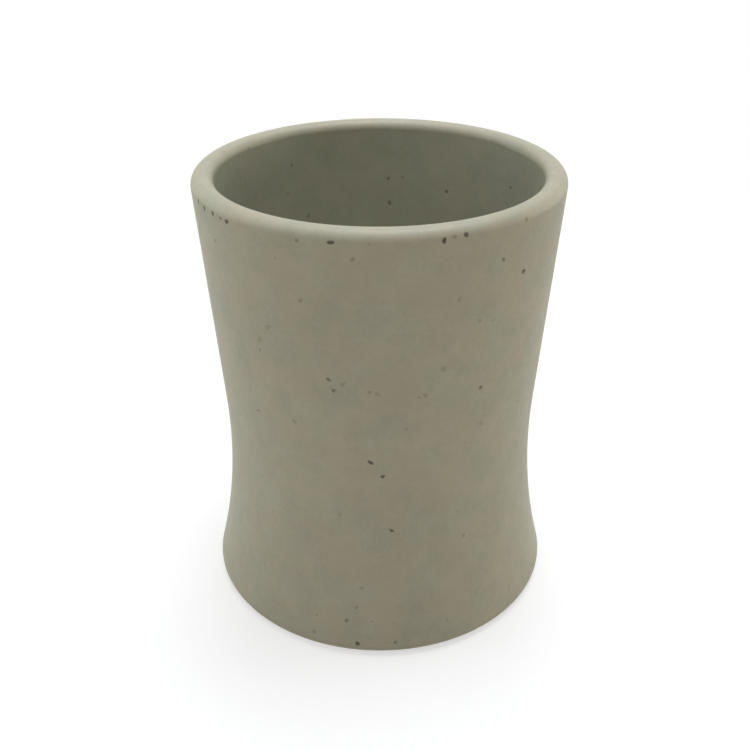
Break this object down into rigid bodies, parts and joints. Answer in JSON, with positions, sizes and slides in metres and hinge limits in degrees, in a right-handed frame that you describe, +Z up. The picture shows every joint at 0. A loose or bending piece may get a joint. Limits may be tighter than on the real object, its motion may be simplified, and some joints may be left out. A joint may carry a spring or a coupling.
{
  "type": "bathroom tumbler",
  "caption": "Waisted bathroom tumbler in matte speckled stone-look resin, with a thick rounded lip and a flared foot on a thin non-slip foam pad.",
  "frame": {"origin": "centre of the foam pad's underside, on the surface that the tumbler stands on", "axes": "+Z up along the cup's own axis, towards its open mouth; X and Y are alike, as the cup is round"},
  "size_m": [0.0806, 0.0806, 0.1],
  "materials": {
    "stone_resin": "matte, fine grain, with sparse dark specks",
    "pad_foam": "matte closed-cell foam",
    "adhesive_film": "satin"
  },
  "bodies": {
    "root": {"body": "stone_resin", "base_pad": "pad_foam", "pad_adhesive": "adhesive_film"}
  },
  "joints": []
}
